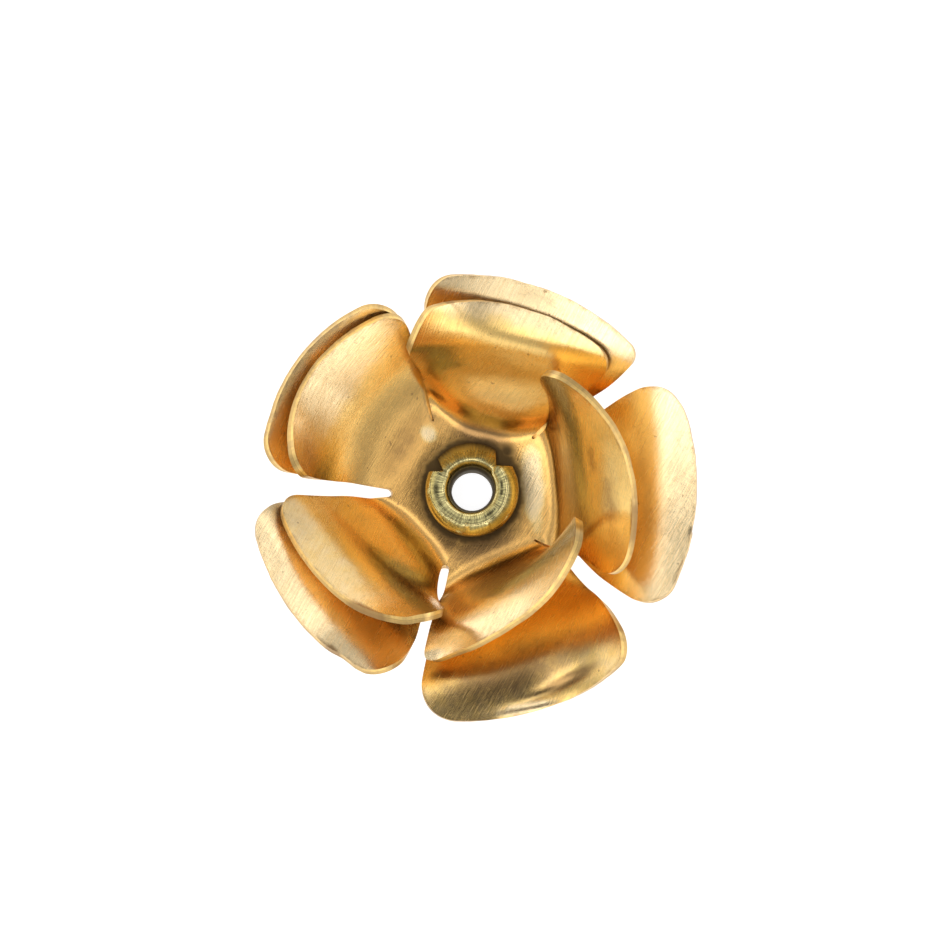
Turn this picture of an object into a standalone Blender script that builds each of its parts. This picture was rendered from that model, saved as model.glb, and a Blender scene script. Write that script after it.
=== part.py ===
"""Flower bead cap: two stamped sheet-metal flowers held one in the other by a tubular eyelet.

The axis of the eyelet is the Z axis, the petals rise towards +Z, and the eyelet's foot lies on z = 0.
Each flower is cut flat, slit into five petals and bent up. The functions below map a point of the flat
blank, given by its radius and angle, to its place on the bent sheet.
"""

import math
from collections import namedtuple

import bmesh
import bpy
import numpy as np
from mathutils import Matrix, Vector

MM = 0.001

# Driving sizes
SHEET = 0.40 * MM
OUTER_REACH = 12.0 * MM
INNER_REACH = 11.0 * MM
SLIT_ROOT = 3.9 * MM
SLIT_WIDTH = 0.9 * MM
CORNER_RADIUS = 1.5 * MM
DISH_RISE = 0.30 * MM
DISH_RUN = 2.6 * MM
HOLE = 2.0 * MM
BARREL_WALL = 0.25 * MM
BORE_CLEARANCE = 0.10 * MM
LAYER_GAP = 0.10 * MM
FOOT_RADIUS = 2.05 * MM
FOOT_THICK = 0.30 * MM
FOOT_ROUND = 0.12 * MM
HEAD_RADIUS = 2.30 * MM
HEAD_HEIGHT = 0.75 * MM
HEAD_ROUND = 0.42 * MM
THROAT_ROUND = 0.28 * MM
NOTCH_DEPTH = 0.62 * MM
WIDE_NOTCH_MOUTH = 1.15 * MM
NARROW_NOTCH_MOUTH = 0.80 * MM
WIDE_NOTCH_HEADING = 45.0
NARROW_NOTCH_HEADING = 147.0

# Layout of a blank
PETALS = 5
SECTOR = 2.0 * math.pi / PETALS
MID_SHARE = 0.6
CUP_FULL_SHARE = 0.9
CUP_EASED_PART = 0.7
SWING_SHARE = 0.35
NOTCH_OVERCUT = 2.0

# Mesh density
COLUMNS = 10
HUB_ROWS = 3
BLADE_ROWS = 8
ROOT_SHARES = (0.12, 0.45, 1.0)
CORNER_SHARES = (0.4, 0.7, 0.9, 1.0)
SPINE_STEPS = 200
TURNED_STEPS = 36
ROUND_STEPS = 4
MERGE = 0.001 * MM
SHARP_DEGREES = 50.0

# Heights of the stack, from the foot up
BARREL_RADIUS = HOLE / 2 + BARREL_WALL
BORE_RADIUS = BARREL_RADIUS + BORE_CLEARANCE
OUTER_TOP = FOOT_THICK + LAYER_GAP + SHEET
INNER_TOP = OUTER_TOP + LAYER_GAP + SHEET
HEAD_BOTTOM = INNER_TOP + LAYER_GAP
HEAD_TOP = HEAD_BOTTOM + HEAD_HEIGHT
DISH_START = max(HEAD_RADIUS, FOOT_RADIUS) + LAYER_GAP

# One row for each petal, counter-clockwise from +X. Angles are in degrees, and reach is a share of the
# blank's. heading is the way that the petal points. lift is its slope just past the fold, halfway and at
# the rim. cup is how far each side curls up, roll tips the petal about its own line, and span is the
# angle from that line to each corner. ccw is the side at the larger heading.
Petal = namedtuple(
    "Petal", "heading reach lift_root lift_mid lift_rim cup_ccw cup_cw roll span_ccw span_cw")

OUTER_PETALS = (
    Petal(-1.5, 1.00, 30, 34, 23, 48, 18, 4, 29.5, 31.0),
    Petal(71.0, 1.00, 36, 45, 26, 38, 26, 0, 28.5, 31.0),
    Petal(143.5, 1.00, 22, 45, 50, 34, 46, 0, 28.0, 28.0),
    Petal(216.5, 1.00, 30, 35, 26, 45, 26, 4, 30.5, 28.5),
    Petal(288.0, 0.99, 28, 28, 17, 42, 8, 5, 29.0, 30.0),
)
INNER_PETALS = (
    Petal(5.0, 1.00, 64, 61, 53, 48, 24, 15, 32.0, 31.0),
    Petal(75.5, 1.00, 46, 53, 31, 38, 20, 6, 31.0, 31.0),
    Petal(145.0, 1.00, 27, 38, 54, 55, 45, 0, 29.0, 28.0),
    Petal(217.5, 1.00, 48, 52, 38, 40, 4, 17, 29.5, 31.0),
    Petal(291.0, 1.00, 66, 68, 61, 30, 7, 20, 30.0, 33.0),
)

# A blank: its size, how far it is turned, its top face at the hub, and how soon its fold is complete
Blank = namedtuple("Blank", "name reach turn top fold_share petals")

OUTER = Blank("outer_flower", OUTER_REACH, 0.0, OUTER_TOP, 0.22, OUTER_PETALS)
INNER = Blank("inner_flower", INNER_REACH, 4.0, INNER_TOP, 0.14, INNER_PETALS)

# Colour, metallic and roughness of each finish
GOLD_BRASS = ((0.80, 0.52, 0.20), 1.0, 0.34)
OUTER_BRASS = ((0.74, 0.47, 0.18), 1.0, 0.36)
YELLOW_BRASS = ((0.55, 0.46, 0.18), 1.0, 0.30)


def clear_scene():
    for thing in list(bpy.data.objects):
        bpy.data.objects.remove(thing)


def new_collection(name):
    collection = bpy.data.collections.new(name)
    bpy.context.scene.collection.children.link(collection)
    return collection


def metal(name, finish):
    colour, metallic, roughness = finish
    material = bpy.data.materials.new(name)
    material.use_nodes = True
    shader = material.node_tree.nodes["Principled BSDF"]
    shader.inputs["Base Color"].default_value = (*colour, 1.0)
    shader.inputs["Metallic"].default_value = metallic
    shader.inputs["Roughness"].default_value = roughness
    return material


def eased(share):
    """Ease from 0 to 1, flat at both ends."""
    share = min(max(share, 0.0), 1.0)
    return share * share * (3.0 - 2.0 * share)


def slit_half_width(radius):
    """Half the slit's width near its closed, round end."""
    past_root = min((radius - SLIT_ROOT) / (SLIT_WIDTH / 2), 1.0)
    return SLIT_WIDTH / 2 * math.sqrt(1.0 - (1.0 - past_root) ** 2)


def side_angle(radius, reach, span):
    """Angle from a petal's line to its side at a radius of the flat blank."""
    if radius <= SLIT_ROOT:
        return SECTOR / 2
    side = SECTOR / 2 - math.asin(slit_half_width(radius) / radius)
    widest = SECTOR / 2 - math.asin(SLIT_WIDTH / 2 / reach)
    side -= (widest - math.radians(span)) * (radius - SLIT_ROOT) / (reach - SLIT_ROOT)
    into_corner = max((radius - (reach - CORNER_RADIUS)) / CORNER_RADIUS, 0.0)
    side -= CORNER_RADIUS * (1.0 - math.sqrt(1.0 - min(into_corner, 1.0) ** 2)) / reach
    return side


def fold_line():
    """Distance from the axis to the chord between two slit roots, where a petal folds up."""
    return SLIT_ROOT * math.cos(SECTOR / 2)


def blade_share(along, reach):
    """How far a point is from the fold towards the rim, from 0 to 1."""
    return (along - fold_line()) / (reach - fold_line())


def slope(share, fold_share, petal):
    """Slope of the petal's own line at a share of its length, in radians."""
    if share <= 0.0:
        return 0.0
    if share < fold_share:
        degrees = petal.lift_root * eased(share / fold_share)
    elif share < MID_SHARE:
        step = eased((share - fold_share) / (MID_SHARE - fold_share))
        degrees = petal.lift_root + (petal.lift_mid - petal.lift_root) * step
    else:
        step = eased((share - MID_SHARE) / (1.0 - MID_SHARE))
        degrees = petal.lift_mid + (petal.lift_rim - petal.lift_mid) * step
    return math.radians(degrees)


def spine(blank, petal):
    """Stations along the petal's own line: flat distance, distance out and height once bent."""
    flat = np.linspace(0.0, petal.reach * blank.reach, SPINE_STEPS)
    slopes = [slope(blade_share(s, petal.reach * blank.reach), blank.fold_share, petal) for s in flat]
    step = flat[1] - flat[0]
    middles = (np.array(slopes[1:]) + np.array(slopes[:-1])) / 2
    out = np.concatenate(([0.0], np.cumsum(np.cos(middles) * step)))
    high = np.concatenate(([0.0], np.cumsum(np.sin(middles) * step)))
    return flat, out, high


def curl(across, start, bend):
    """Across and up components of an arc that starts at one slope and turns at a steady rate."""
    if abs(bend) < 1e-3:
        return across * math.cos(start), across * math.sin(start)
    end = start + bend * across
    return (math.sin(end) - math.sin(start)) / bend, (math.cos(start) - math.cos(end)) / bend


def bent_point(blank, petal, index, line, radius, angle):
    """Place on the bent sheet's upper face of a flat point at a radius and an angle off the line."""
    reach = petal.reach * blank.reach
    along = radius * math.cos(angle)
    across = radius * math.sin(angle)
    flat, out, high = line
    share = blade_share(along, reach)
    grown = CUP_EASED_PART * eased(share / CUP_FULL_SHARE)
    grown += (1.0 - CUP_EASED_PART) * min(max(share, 0.0), 1.0)
    cup = petal.cup_ccw if across > 0.0 else petal.cup_cw
    half_width = reach * math.sin(SECTOR / 2 - SLIT_WIDTH / reach)
    side, rise = curl(across, math.radians(petal.roll) * grown, math.radians(cup) * grown / half_width)
    tilt = slope(share, blank.fold_share, petal)
    place = Vector((
        float(np.interp(along, flat, out)) - rise * math.sin(tilt),
        side,
        float(np.interp(along, flat, high)) + rise * math.cos(tilt)
        + DISH_RISE * eased((radius - DISH_START) / DISH_RUN) + blank.top,
    ))
    sector_heading = blank.turn + math.degrees(SECTOR) * index
    swing = (petal.heading - sector_heading) * eased(share / SWING_SHARE)
    return Matrix.Rotation(math.radians(sector_heading + swing), 3, "Z") @ place


def row_radii(reach):
    """Radii of the rows of a petal's grid, from the bore to the rim."""
    hub = np.linspace(BORE_RADIUS, SLIT_ROOT, HUB_ROWS + 1)
    root = [SLIT_ROOT + share * SLIT_WIDTH / 2 for share in ROOT_SHARES]
    blade = np.linspace(root[-1], reach - CORNER_RADIUS, BLADE_ROWS + 1)[1:]
    corner = [reach - CORNER_RADIUS + share * CORNER_RADIUS for share in CORNER_SHARES]
    return [*hub, *root, *blade, *corner]


def add_petal(mesh, blank, index):
    """Bend one sector of the blank, with its part of the hub, out of a square grid."""
    petal = blank.petals[index]
    reach = petal.reach * blank.reach
    radii = row_radii(reach)
    line = spine(blank, petal)
    grid = bmesh.ops.create_grid(mesh, x_segments=COLUMNS, y_segments=len(radii) - 1, size=1.0)
    for vert in grid["verts"]:
        radius = radii[round((vert.co.y + 1.0) / 2 * (len(radii) - 1))]
        left = side_angle(radius, reach, petal.span_ccw)
        right = side_angle(radius, reach, petal.span_cw)
        angle = (left - right) / 2 - vert.co.x * (left + right) / 2
        vert.co = bent_point(blank, petal, index, line, radius, angle)


def add_flower(blank, collection, material):
    """One flower: five bent sectors joined at the hub, thickened downwards."""
    mesh = bmesh.new()
    for index in range(PETALS):
        add_petal(mesh, blank, index)
    bmesh.ops.remove_doubles(mesh, verts=mesh.verts, dist=MERGE)
    data = bpy.data.meshes.new(blank.name)
    mesh.to_mesh(data)
    mesh.free()
    data.shade_smooth()
    data.set_sharp_from_angle(angle=math.radians(SHARP_DEGREES))
    flower = bpy.data.objects.new(blank.name, data)
    flower.data.materials.append(material)
    collection.objects.link(flower)
    wall = flower.modifiers.new("sheet thickness", "SOLIDIFY")
    wall.thickness = SHEET
    wall.offset = -1.0
    wall.use_even_offset = True
    return flower


def quarter(centre, radius, first, last):
    """Points of an arc in the profile's plane, as (radius from the axis, height)."""
    angles = [math.radians(first + (last - first) * step / ROUND_STEPS) for step in range(ROUND_STEPS + 1)]
    return [(centre[0] + radius * math.cos(a), centre[1] + radius * math.sin(a)) for a in angles]


def eyelet_profile():
    """Closed outline of the eyelet's wall, down its outer side and up its bore."""
    inner = HOLE / 2
    head = quarter((HEAD_RADIUS - HEAD_ROUND, HEAD_TOP - HEAD_ROUND), HEAD_ROUND, 90, 0)
    head.append((HEAD_RADIUS, HEAD_BOTTOM))
    barrel = [(BARREL_RADIUS, HEAD_BOTTOM), (BARREL_RADIUS, FOOT_THICK)]
    foot = [(FOOT_RADIUS, FOOT_THICK)]
    foot += quarter((FOOT_RADIUS - FOOT_ROUND, FOOT_ROUND), FOOT_ROUND, 0, -90)
    mouth = quarter((inner + FOOT_ROUND, FOOT_ROUND), FOOT_ROUND, -90, -180)
    throat = quarter((inner + THROAT_ROUND, HEAD_TOP - THROAT_ROUND), THROAT_ROUND, 180, 90)
    return head + barrel + foot + mouth + throat


def add_notch_cutter(heading, mouth, collection):
    """A wedge that splits the head's rolled edge, narrowing to a point towards the axis."""
    mesh = bmesh.new()
    bmesh.ops.create_cone(
        mesh, cap_ends=True, segments=3, radius1=1.0, radius2=1.0, depth=1.0,
        matrix=Matrix.Rotation(math.pi / 2, 4, "Z"))
    prism_length = 1.0 + max(vert.co.x for vert in mesh.verts)
    prism_width = 2.0 * max(vert.co.y for vert in mesh.verts)
    tip = HEAD_RADIUS - NOTCH_DEPTH
    for vert in mesh.verts:
        vert.co.x = tip + (vert.co.x + 1.0) / prism_length * NOTCH_DEPTH * NOTCH_OVERCUT
        vert.co.y *= mouth * NOTCH_OVERCUT / prism_width
        vert.co.z = HEAD_BOTTOM + HEAD_HEIGHT * (0.5 + NOTCH_OVERCUT * vert.co.z)
    mesh.transform(Matrix.Rotation(math.radians(heading), 4, "Z"))
    data = bpy.data.meshes.new("notch cutter")
    mesh.to_mesh(data)
    mesh.free()
    cutter = bpy.data.objects.new("notch cutter", data)
    cutter.hide_render = True
    cutter.display_type = "WIRE"
    collection.objects.link(cutter)
    return cutter


def add_eyelet(collection, cutters, material):
    """The tubular rivet: a foot, a barrel through both hubs, and a rolled head with two splits."""
    mesh = bmesh.new()
    points = [mesh.verts.new((radius, 0.0, height)) for radius, height in eyelet_profile()]
    for first, second in zip(points, points[1:] + points[:1]):
        mesh.edges.new((first, second))
    data = bpy.data.meshes.new("eyelet")
    mesh.to_mesh(data)
    mesh.free()
    eyelet = bpy.data.objects.new("eyelet", data)
    eyelet.data.materials.append(material)
    collection.objects.link(eyelet)
    turned = eyelet.modifiers.new("turned wall", "SCREW")
    turned.axis = "Z"
    turned.steps = TURNED_STEPS
    turned.render_steps = TURNED_STEPS
    turned.use_merge_vertices = True
    turned.merge_threshold = MERGE
    turned.use_smooth_shade = True
    notches = (
        (WIDE_NOTCH_HEADING, WIDE_NOTCH_MOUTH),
        (NARROW_NOTCH_HEADING, NARROW_NOTCH_MOUTH),
    )
    for heading, mouth in notches:
        split = eyelet.modifiers.new("split in the roll", "BOOLEAN")
        split.operation = "DIFFERENCE"
        split.solver = "EXACT"
        split.object = add_notch_cutter(heading, mouth, cutters)
    return eyelet


def main():
    clear_scene()
    parts = new_collection("flower bead cap")
    cutters = new_collection("cutters")
    add_flower(OUTER, parts, metal("satin brass, lower flower", OUTER_BRASS))
    add_flower(INNER, parts, metal("satin brass, upper flower", GOLD_BRASS))
    add_eyelet(parts, cutters, metal("yellow brass", YELLOW_BRASS))


if __name__ == "__main__":
    main()
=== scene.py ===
import math
from collections import namedtuple

import bmesh
import bpy
import numpy as np
from bpy.props import FloatProperty, FloatVectorProperty, PointerProperty
from mathutils import Matrix, Vector, noise


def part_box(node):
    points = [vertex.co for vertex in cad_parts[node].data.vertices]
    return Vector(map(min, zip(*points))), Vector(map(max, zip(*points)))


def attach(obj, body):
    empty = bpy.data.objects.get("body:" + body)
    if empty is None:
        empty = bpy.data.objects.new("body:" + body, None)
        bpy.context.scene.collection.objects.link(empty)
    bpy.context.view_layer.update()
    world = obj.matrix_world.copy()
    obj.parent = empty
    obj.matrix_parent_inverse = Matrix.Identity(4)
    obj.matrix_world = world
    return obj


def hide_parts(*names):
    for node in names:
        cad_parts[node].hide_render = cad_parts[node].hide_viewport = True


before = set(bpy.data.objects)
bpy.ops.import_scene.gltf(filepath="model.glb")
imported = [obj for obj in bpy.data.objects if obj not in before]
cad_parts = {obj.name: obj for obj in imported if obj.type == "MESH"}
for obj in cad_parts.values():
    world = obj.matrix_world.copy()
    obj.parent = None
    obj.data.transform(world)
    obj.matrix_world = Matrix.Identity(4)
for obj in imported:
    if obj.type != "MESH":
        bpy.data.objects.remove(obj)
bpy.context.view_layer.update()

bl_info = {
    "name": "Riveted Flower Bead Cap",
    "version": (1, 0, 0),
    "blender": (4, 5, 0),
    "location": "View3D > Sidebar > Bead Cap",
    "description": "Brushed brass petals, a set eyelet and a pale studio round the flower bead cap",
    "category": "Add Mesh",
}

MM = 0.001
OUTER = "outer_flower"
INNER = "inner_flower"

# Heights and radii that the solid model already fixes
OUTER_LOW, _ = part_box("outer_flower")
INNER_LOW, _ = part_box("inner_flower")
_, EYELET_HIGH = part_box("eyelet")
HEAD_RADIUS = EYELET_HIGH.x
HEAD_TOP = EYELET_HIGH.z

# Layout of a blank
PETALS = 5
SECTOR = 2.0 * math.pi / PETALS
DISH_START = 2.4 * MM

# How far along a petal, from 0 at its fold to 1 at its rim: its middle slope, its rim slope, its full cup,
# its own heading, its open slit, the end of its roots' turn and of its lead, its full relief, and where its
# painted highlight starts and is full
MID_SHARE = 0.5
FLAT_SHARE = 0.9
CUP_FULL_SHARE = 0.9
SWING_SHARE = 0.35
SLIT_OPEN_SHARE = 0.9
ROOT_TURN_SHARE = 0.6
LEAD_SHARE = 0.5
RELIEF_SHARE = 0.15
PAINTED_HIGHLIGHT_FROM = 0.42
PAINTED_HIGHLIGHT_FULL = 0.80

# Part of the cup that is eased in, the rest growing evenly, and how strongly late moves the painted highlight
# out
CUP_EASED_PART = 0.7
LATE_HIGHLIGHT = 1.5

# Where the rim's waver starts and how long it takes to set in, as shares of the petal's reach
WAVER_FROM = 0.8
WAVER_RUN = 0.2

# Mesh density of the fine pieces
COLUMNS = 60
HUB_ROWS = 22
ROOT_ROWS = 8
BLADE_ROWS = 52
CORNER_ROWS = 16
SPINE_STEPS = 400
TURNED_STEPS = 640
FOOT_STEPS = 6
CUT_EDGE_SEGMENTS = 2
FLOOR_SEGMENTS = 96
MERGE = 0.001 * MM

# Angles past which the sheet's edges are rounded, and past which the eyelet's stay sharp
ROUNDED_ANGLE = math.radians(50)
SHARP_ANGLE = math.radians(55)

# Names of the maps that the finishes read, and the width of flat blank that the brushing map spans
BRUSHING = "brushing"
EDGE_DISTANCE = "edge_distance"
STAIN_AND_SHADE = "stain"
PAINTED_HIGHLIGHT = "worn"
DEPTH = "depth"
BLANK_SPAN = 25.0 * MM

# One row for each petal, counter-clockwise from +X. Angles are in degrees, and reach is a share of the
# blank's. heading is the way that the petal points. lift is its slope just past the fold, halfway and at
# the rim, late how much further out than usual its steep part reaches, fold the share of its length that the
# fold takes, and lead how many millimetres sooner its middle folds than its sides. cup is how far each side
# curls up, roll tips the petal about its own line, span is the angle from that line to each corner, and
# corner is each corner's rounding as a share of the corner radius. slit is the width of the slit on its ccw
# side near the root, as a share of the slit width, and root_turn is how far that root lies ccw of its even
# place. pale is how strongly its outer part is painted with a highlight, from 0 to 1. ccw is the side at the
# larger heading.
Petal = namedtuple(
    "Petal",
    "heading reach lift_root lift_mid lift_rim late fold lead cup_ccw cup_cw roll "
    "span_ccw span_cw corner_ccw corner_cw slit root_turn pale")

OUTER_PETALS = (
    Petal(-1.5, 1.00, 38, 42, 10, 0.0, 0.25, 0.0, 10, 10, 2, 27.0, 30.5, 1.1, 1.1, 0.6, 0, 1.0),
    Petal(71.0, 0.97, 42, 54, 11, 0.0, 0.25, 0.0, 36, 12, 0, 28.0, 29.5, 0.9, 0.5, 0.6, 0, 1.0),
    Petal(144.5, 0.935, 19, 37, 28, 0.0, 0.25, 0.0, 30, 44, 0, 28.0, 27.5, 1.0, 1.0, 0.55, 0, 0.55),
    Petal(216.5, 0.98, 34, 44, 12, 0.0, 0.25, 0.0, 32, 12, 4, 28.0, 27.5, 1.0, 1.0, 0.7, 0, 1.0),
    Petal(286.5, 1.015, 32, 34, 1, 0.0, 0.25, 0.0, 56, 8, 3, 27.0, 28.0, 0.7, 1.2, 0.6, 7, 0.35),
)
INNER_PETALS = (
    Petal(5.0, 0.99, 66, 66, 44, 0.0, 0.14, -0.5, 44, 24, 15, 32.0, 31.0, 0.7, 1.0, 0.12, 1, 0.15),
    Petal(75.5, 0.97, 54, 50, 12, 0.18, 0.20, 0.8, 52, 14, 6, 31.0, 30.5, 1.0, 0.9, 0.12, 8, 1.0),
    Petal(145.0, 0.95, 32, 37, 38, 0.05, 0.40, 0.5, 58, 34, 0, 29.0, 29.5, 0.8, 0.9, 0.45, -2, 1.0),
    Petal(217.5, 0.965, 48, 58, 34, 0.0, 0.20, 0.5, 48, 6, 15, 29.5, 31.0, 0.9, 0.9, 0.36, -5, 0.5),
    Petal(289.5, 0.95, 72, 74, 40, 0.0, 0.22, 0.2, 36, -10, 22, 30.0, 34.0, 0.8, 0.8, 0.06, -7, 1.0),
)

# A blank: its reach, how far it is turned in degrees, its top face at the hub, where its random surface
# starts, and its petals
Blank = namedtuple("Blank", "name reach turn top seed petals")

# Random waves of the sheet and of its sheared rim: fineness for each millimetre, and part of the height
Wave = namedtuple("Wave", "fineness part")
SHEET_WAVES = (Wave(0.45, 1.0), Wave(1.1, 0.35), Wave(2.6, 0.12))
RIM_WAVES = (Wave(0.9, 1.0), Wave(3.5, 0.3))

# Dents, bulges, stains, painted shade and painted highlights. along is the share of the petal's length,
# across the share of its half width towards the ccw side, long and wide their half sizes in millimetres, and
# turn the heading of their length off the petal's line. rise is the height in hundredths of a millimetre. The
# last column is the tarnish, which in the marks so noted is painted shade: 1 is full, more spreads it wider,
# and below 0 it paints a highlight.
Mark = namedtuple("Mark", "flower petal along across long wide turn rise stain")
MARKS = (
    Mark(INNER, 4, 0.62, -0.10, 0.55, 0.30, 20, -2.5, 0.10),
    # The next three marks are grime and painted shade across the petals' roots
    Mark(INNER, 4, -0.06, -0.10, 2.20, 0.75, 90, 0.0, 1.00),
    Mark(INNER, 3, -0.10, 0.20, 1.40, 0.80, 90, 0.0, 0.80),
    Mark(INNER, 2, 0.12, 0.0, 2.20, 0.90, 90, 0.0, 0.60),
    # Painted dark reflection on the petal
    Mark(INNER, 0, 0.80, -0.30, 1.60, 0.80, 90, 0.0, 0.70),
    # Painted highlight
    Mark(INNER, 3, 0.62, 0.46, 1.80, 0.90, 90, 0.0, -0.80),
    # The next two raise the sheet beside the slit and paint shade along it
    Mark(INNER, 3, 0.06, -0.49, 0.55, 0.12, -36, 14.0, 0.90),
    Mark(INNER, 2, 0.06, 0.49, 0.50, 0.10, 36, 10.0, 0.90),
    # Painted dark reflection over the petal's lower part
    Mark(OUTER, 4, 0.76, -0.15, 4.20, 1.50, 90, 0.0, 1.00),
    # Grime and painted shade across the petal's root
    Mark(INNER, 1, -0.05, 0.05, 1.60, 0.60, 90, 0.0, 1.20),
    # A groove darkened with painted shade
    Mark(OUTER, 4, 0.89, 0.28, 1.90, 0.34, 98, -15.0, 1.30),
    # The next six marks are painted highlights, the first on a bulge
    Mark(OUTER, 4, 0.97, -0.08, 1.70, 0.36, 85, 12.0, -1.0),
    Mark(OUTER, 4, 0.30, 0.0, 3.00, 1.20, 90, 0.0, -0.35),
    Mark(OUTER, 3, 0.50, 0.10, 2.40, 1.60, 90, 0.0, -0.60),
    Mark(OUTER, 3, 0.74, 0.66, 1.20, 0.55, 100, 3.0, -0.9),
    Mark(INNER, 3, 0.40, 0.30, 2.20, 1.60, 90, 0.0, -0.65),
    Mark(INNER, 0, 0.22, 0.70, 0.90, 0.25, 60, 0.0, -0.9),
    # A shallow dent with a painted dark reflection
    Mark(INNER, 0, 0.40, 0.46, 0.80, 0.28, 90, -2.0, 0.8),
    # The next two are painted highlights on the hub
    Mark(INNER, 0, -0.02, 0.0, 2.20, 0.60, 90, 0.0, -1.0),
    Mark(INNER, 2, 0.02, -0.22, 0.50, 0.40, 0, 0.0, -0.9),
    Mark(OUTER, 4, 0.45, 0.97, 1.40, 0.12, 0, 0.0, 0.9),
    Mark(OUTER, 4, 0.90, 0.92, 0.90, 0.15, 30, 0.0, 0.6),
    Mark(OUTER, 3, 0.96, 0.42, 0.50, 0.22, 90, 0.0, 1.0),
    Mark(OUTER, 3, 0.80, 0.20, 1.60, 0.40, 35, -3.0, 0.25),
    Mark(OUTER, 0, 0.98, -0.32, 0.22, 0.10, 70, -1.5, 0.7),
    Mark(OUTER, 0, 0.97, 0.88, 0.40, 0.20, 60, 1.0, 0.9),
    Mark(OUTER, 1, 0.95, 0.92, 0.60, 0.22, 70, 0.0, 0.8),
    Mark(OUTER, 2, 0.80, 0.96, 1.50, 0.20, 0, 0.0, 1.0),
    Mark(INNER, 1, 0.86, 0.22, 0.10, 0.06, 0, -1.2, 0.5),
    Mark(INNER, 1, 0.78, 0.14, 0.12, 0.06, 30, -1.2, 0.5),
    Mark(INNER, 1, 0.93, 0.60, 1.10, 0.16, 60, 0.0, 0.8),
    Mark(INNER, 2, 0.60, -0.55, 0.07, 0.07, 0, -0.8, 1.0),
    Mark(INNER, 2, 0.50, -0.92, 0.30, 0.08, 0, 1.5, 1.0),
    Mark(INNER, 2, 0.96, 0.90, 0.25, 0.12, 60, -1.0, 1.0),
    Mark(INNER, 3, 0.98, 0.44, 1.10, 0.28, 90, -1.0, 1.4),
    Mark(INNER, 3, 0.98, 0.76, 0.30, 0.25, 90, 0.0, 1.3),
    Mark(INNER, 3, 0.90, -0.85, 0.32, 0.06, 60, -1.5, 0.7),
    Mark(INNER, 3, 0.20, 0.75, 1.20, 0.60, 10, 0.0, 0.35),
    Mark(INNER, 0, 0.95, -0.55, 1.60, 0.20, 80, 0.0, 0.8),
    Mark(INNER, 0, 0.92, -0.85, 0.50, 0.30, 40, 0.0, 0.8),
    # A shallow dent with a painted dark reflection
    Mark(INNER, 0, 0.72, 0.10, 1.20, 0.50, 70, -2.5, 0.75),
    Mark(INNER, 0, 0.35, 0.30, 1.60, 0.40, 60, 2.0, 0.0),
)

# Bites out of a rim: across as above, and half width and depth in millimetres. A depth below 0 stands out.
Nick = namedtuple("Nick", "flower petal across wide depth")
NICKS = (
    Nick(OUTER, 0, 0.62, 0.45, 0.10),
    Nick(OUTER, 3, 0.45, 0.50, 0.12),
    Nick(OUTER, 4, -0.75, 0.20, 0.10),
    Nick(INNER, 3, 0.72, 0.25, 0.12),
    Nick(INNER, 2, 0.80, 0.16, 0.10),
    Nick(INNER, 2, -0.80, 0.30, -0.08),
)

# The set head round the eyelet: the radii of its inner and outer ridges and of its foot, as shares of the
# head's radius, and splay, which is 1 where it is spread into a sloping lobe and 0 where it is rolled
Around = namedtuple("Around", "heading inner outer foot splay")
HEAD_FORM = (
    Around(0, 0.53, 0.75, 1.0, 0.0),
    Around(36, 0.55, 0.76, 1.0, 0.0),
    Around(46, 0.63, 0.82, 1.0, 1.0),
    Around(95, 0.64, 0.80, 1.03, 1.0),
    Around(143, 0.64, 0.82, 1.0, 1.0),
    Around(151, 0.60, 0.90, 1.0, 0.0),
    Around(180, 0.60, 0.91, 1.0, 0.0),
    Around(205, 0.60, 0.87, 1.0, 0.0),
    Around(230, 0.58, 0.80, 1.0, 0.0),
    Around(270, 0.55, 0.77, 1.0, 0.0),
    Around(310, 0.53, 0.755, 1.0, 0.0),
    Around(345, 0.52, 0.74, 1.0, 0.0),
)

# Stations of the head's section, from its foot over the ridges to the hole. place is 3 at the foot, 2 at
# the outer ridge, 1 at the inner ridge and 0 at the hole. rolled and splayed are shares of the head's height.
Station = namedtuple("Station", "place rolled splayed")
HEAD_SECTION = (
    Station(3.00, 0.00, 0.00),
    Station(3.00, 0.18, 0.04),
    Station(3.00, 0.34, 0.09),
    Station(2.95, 0.50, 0.17),
    Station(2.82, 0.66, 0.27),
    Station(2.63, 0.79, 0.37),
    Station(2.42, 0.88, 0.47),
    Station(2.22, 0.945, 0.57),
    Station(2.08, 0.985, 0.64),
    Station(2.00, 1.00, 0.68),
    Station(1.90, 0.975, 0.73),
    Station(1.75, 0.94, 0.79),
    Station(1.58, 0.92, 0.86),
    Station(1.40, 0.92, 0.92),
    Station(1.22, 0.945, 0.965),
    Station(1.08, 0.985, 0.99),
    Station(1.00, 1.00, 1.00),
    Station(0.88, 0.985, 0.97),
    Station(0.70, 0.92, 0.88),
    Station(0.50, 0.78, 0.74),
    Station(0.30, 0.58, 0.55),
    Station(0.13, 0.34, 0.32),
    Station(0.00, 0.08, 0.08),
)

# Wedges cut into the head: heading in degrees, mouth and tip as shares of the head's radius
Notch = namedtuple("Notch", "heading mouth tip")
NOTCHES = (Notch(45, 0.50, 0.73), Notch(147, 0.35, 0.73))

# Burrs that the setting tool left on the head: heading in degrees, radius as a share of the head's, half
# width in degrees and rise in millimetres
Burr = namedtuple("Burr", "heading radius wide rise")
BURRS = (
    Burr(262, 0.79, 3.5, 0.05),
    Burr(294, 0.84, 3.0, 0.045),
    Burr(222, 0.86, 2.0, 0.03),
    Burr(236, 0.83, 1.6, 0.03),
)
BURR_DEPTH = 0.12 * MM

# Marks in one turn round the hole, and a heading where the head has no notch
SETTING_LINES = 82.0
PLAIN_HEADING = 270.0

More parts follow.
